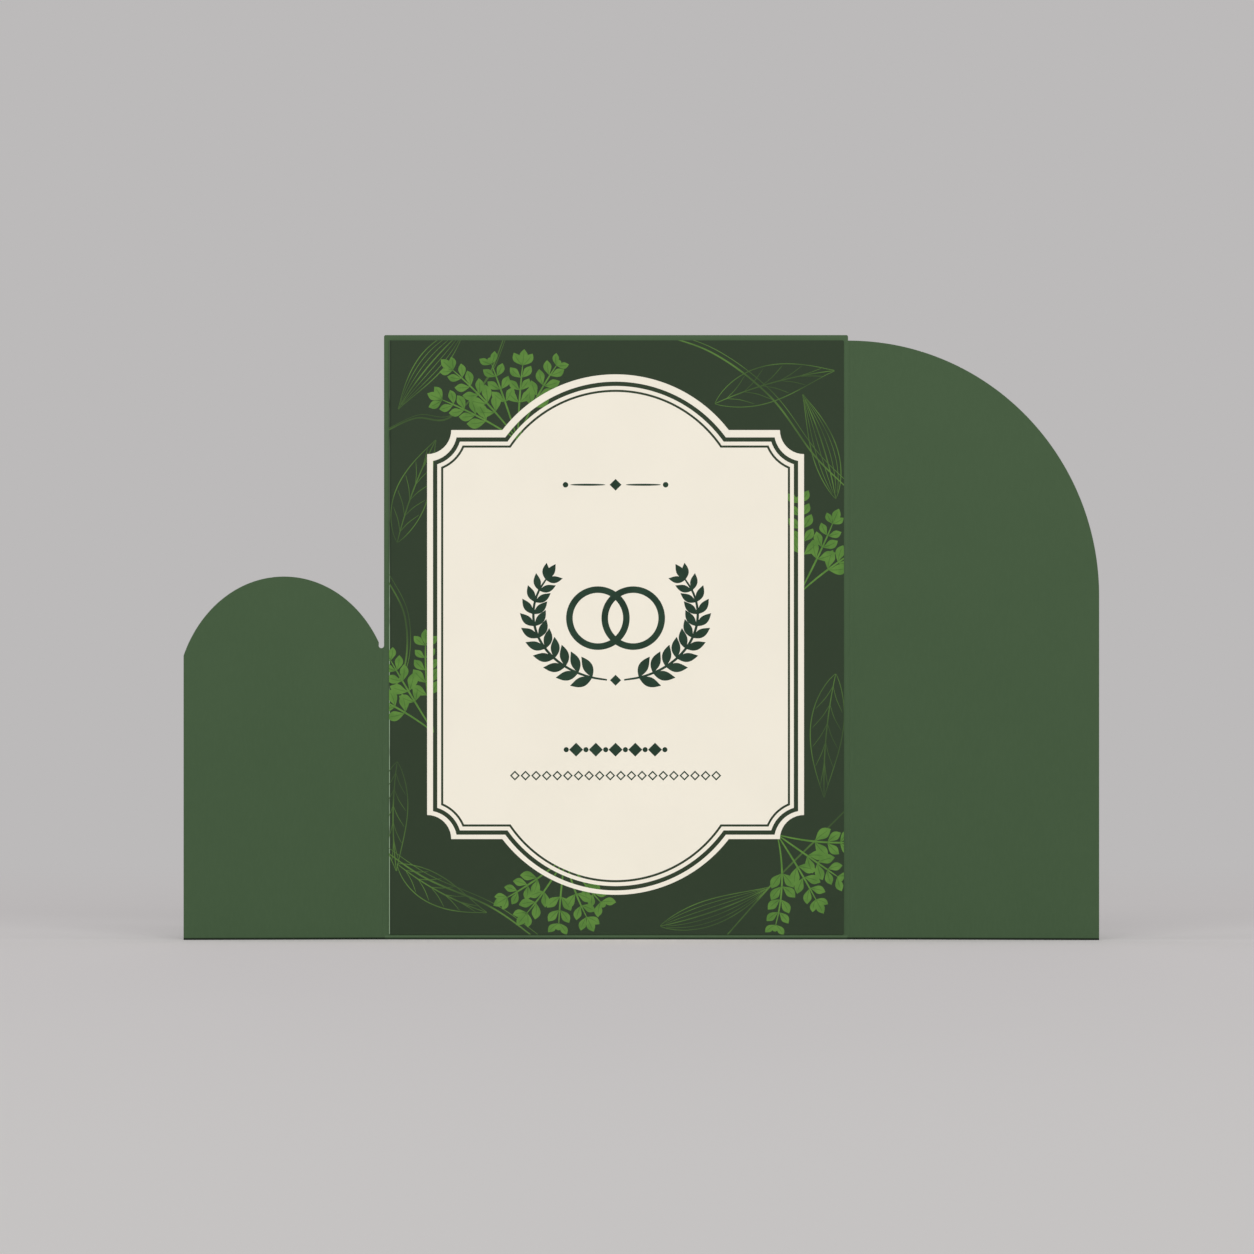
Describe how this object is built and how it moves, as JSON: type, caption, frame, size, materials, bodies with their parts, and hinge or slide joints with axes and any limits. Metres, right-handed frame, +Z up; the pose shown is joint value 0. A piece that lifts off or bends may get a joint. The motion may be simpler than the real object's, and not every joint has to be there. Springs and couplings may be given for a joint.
{
  "type": "wedding card",
  "caption": "Open gate-fold wedding card standing on its edge: centre panel with a printed insert, a narrow arched left flap and a wide quarter-round right flap.",
  "frame": {"origin": "middle of the centre panel's lower edge, halfway through the cover sheet", "axes": "+Z up, +X along the card's width towards the quarter-round flap, +Y into the depth; the printed front faces -Y"},
  "size_m": [0.25, 0.0149, 0.1654],
  "materials": {
    "cover_card": "matt uncoated card dyed mid green, with a fine felt texture, slightly paler at its cut edges",
    "printed_card": "smooth card printed dark green with a brighter leaf pattern and a cream plaque, pale at its cut edges"
  },
  "bodies": {
    "root": {"cover": "cover_card", "insert": "printed_card"}
  },
  "joints": []
}
